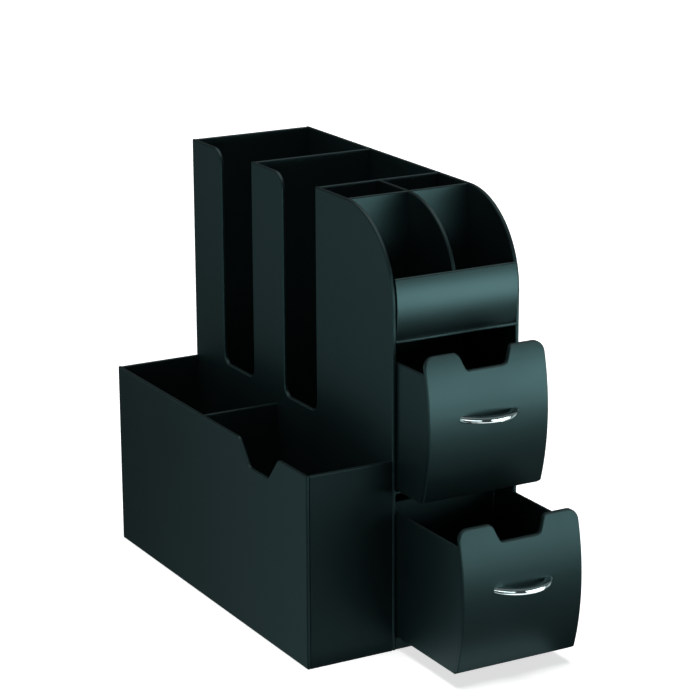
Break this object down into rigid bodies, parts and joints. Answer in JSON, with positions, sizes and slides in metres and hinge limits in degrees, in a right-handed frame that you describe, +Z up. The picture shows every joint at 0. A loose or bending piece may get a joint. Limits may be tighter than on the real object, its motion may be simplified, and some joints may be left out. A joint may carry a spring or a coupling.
{
  "type": "condiment caddy with drawers",
  "caption": "Counter-top condiment caddy: low napkin and cutlery bin beside a tower with bowed sliding drawers, packet and stirrer compartments, and tall cup and lid bays.",
  "frame": {"origin": "middle of the caddy's underside, without the reach of the drawers, on the counter plane", "axes": "+Z up; the front with the drawers faces -Y; +X is the viewer's right, so the low bin is on the -X side"},
  "size_m": [0.1742, 0.4158, 0.32],
  "materials": {
    "charcoal_plastic": "satin charcoal-black moulded plastic",
    "chrome": "polished chrome plate",
    "screw_steel": "zinc-plated steel"
  },
  "bodies": {
    "cabinet": {"right_panel": "charcoal_plastic", "main_left_panel": "charcoal_plastic", "tower_back": "charcoal_plastic", "cup_divider": "charcoal_plastic", "back_panel": "charcoal_plastic", "base_tray": "charcoal_plastic", "mid_shelf": "charcoal_plastic", "top_shelf": "charcoal_plastic", "front_fascia": "charcoal_plastic", "packet_divider": "charcoal_plastic", "stirrer_partition": "charcoal_plastic", "bin_side_panel": "charcoal_plastic", "bin_front_panel": "charcoal_plastic", "bin_back_panel": "charcoal_plastic", "bin_divider": "charcoal_plastic", "bin_floor": "charcoal_plastic"},
    "upper_drawer": {"upper_drawer_tray": "charcoal_plastic", "upper_drawer_front": "charcoal_plastic", "upper_drawer_handle": "chrome", "upper_drawer_screws": "screw_steel"},
    "lower_drawer": {"lower_drawer_tray": "charcoal_plastic", "lower_drawer_front": "charcoal_plastic", "lower_drawer_handle": "chrome", "lower_drawer_screws": "screw_steel"}
  },
  "joints": [
    {"name": "upper_drawer_slide", "type": "slide", "parent": "cabinet", "child": "upper_drawer", "axis": [0, -1, 0], "range_m": [-0.0374, 0.0576]},
    {"name": "lower_drawer_slide", "type": "slide", "parent": "cabinet", "child": "lower_drawer", "axis": [0, -1, 0], "range_m": [-0.0834, 0.0116]}
  ]
}
